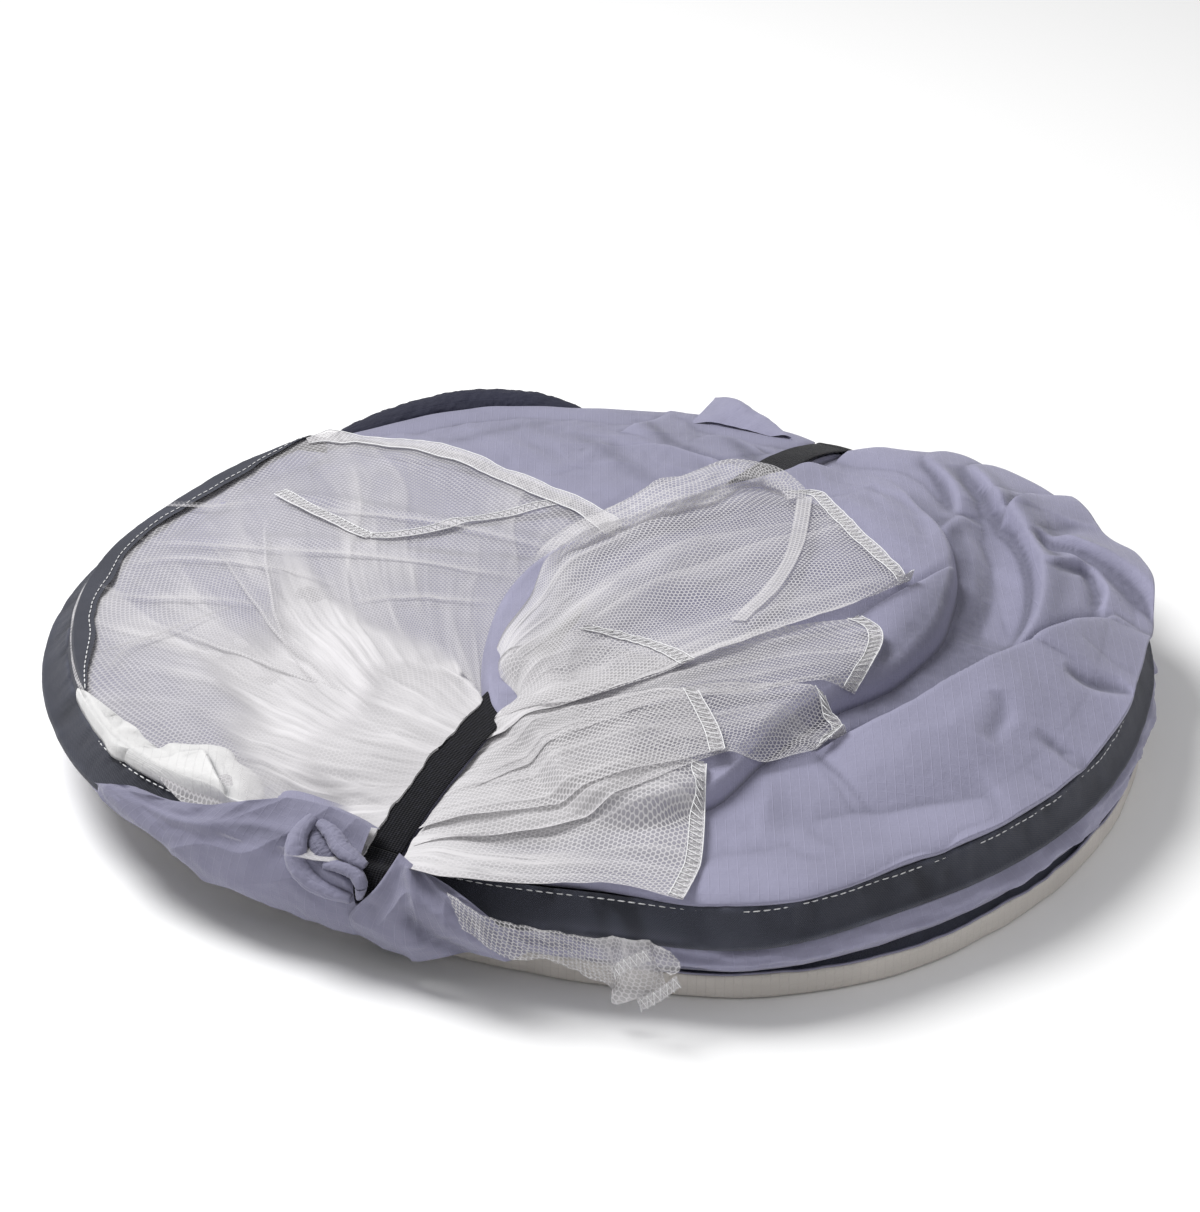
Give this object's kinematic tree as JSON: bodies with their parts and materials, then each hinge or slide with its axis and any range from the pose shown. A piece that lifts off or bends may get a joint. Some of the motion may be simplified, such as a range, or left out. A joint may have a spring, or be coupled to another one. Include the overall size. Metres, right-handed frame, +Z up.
{
  "type": "mosquito net tent",
  "caption": "Pop-up mosquito net tent folded to a flat disc: turns of spring wire in tape sleeves, with cloth and net gathered on top, held by an elastic strap.",
  "frame": {"origin": "on the ground plane under the middle of the folded disc", "axes": "+Z up; -Y towards the front, where the strap comes over the rim; +X to the right seen from the front"},
  "size_m": [0.5899, 0.5808, 0.0982],
  "materials": {
    "cloth_blue": "satin",
    "cloth_navy": "matte",
    "cloth_cream": "matte",
    "tape_grey": "matte",
    "net_white": "matte",
    "elastic_black": "matte",
    "spring_steel": "satin"
  },
  "bodies": {
    "lower_turn": {"ground_sheet": "cloth_cream", "lower_tape": "tape_grey", "lower_wire": "spring_steel", "lower_layers": "cloth_blue", "strap_lower": "elastic_black", "strap_front": "elastic_black", "strap_back": "elastic_black"},
    "middle_turn": {"middle_tape": "tape_grey", "middle_wire": "spring_steel", "middle_layers": "cloth_blue"},
    "upper_turn": {"upper_tape": "tape_grey", "upper_wire": "spring_steel", "wire_ferrule": "spring_steel", "upper_band": "cloth_blue", "right_panel": "cloth_blue", "left_panel": "cloth_blue", "back_panel": "cloth_blue", "right_over_panel": "cloth_blue", "waist_gather": "cloth_blue", "back_roll": "cloth_navy", "back_tab": "cloth_blue", "front_flap_left": "cloth_blue", "front_flap_right": "cloth_blue", "strap_upper": "elastic_black", "left_net": "net_white", "left_net_hem": "net_white", "right_net": "net_white", "net_hem_back": "net_white", "net_hem_side": "net_white", "net_hem_tip": "net_white", "net_hem_front": "net_white", "net_roll": "net_white", "net_corner": "net_white"}
  },
  "joints": [
    {"name": "upper_turn_hinge", "type": "hinge", "parent": "lower_turn", "child": "upper_turn", "pos_m": [0.13686, 0.24999, 0.0375], "axis": [-0.8771, 0.4802, 0], "range_deg": [0, 30], "deforming": ["strap_front", "strap_back"]},
    {"name": "middle_turn_hinge", "type": "hinge", "parent": "lower_turn", "child": "middle_turn", "pos_m": [0.13686, 0.24999, 0.01], "axis": [-0.8771, 0.4802, 0], "range_deg": [0, 15]}
  ],
  "couplings": [
    {"joint": "middle_turn_hinge", "follows": "upper_turn_hinge", "ratio": 0.5}
  ]
}
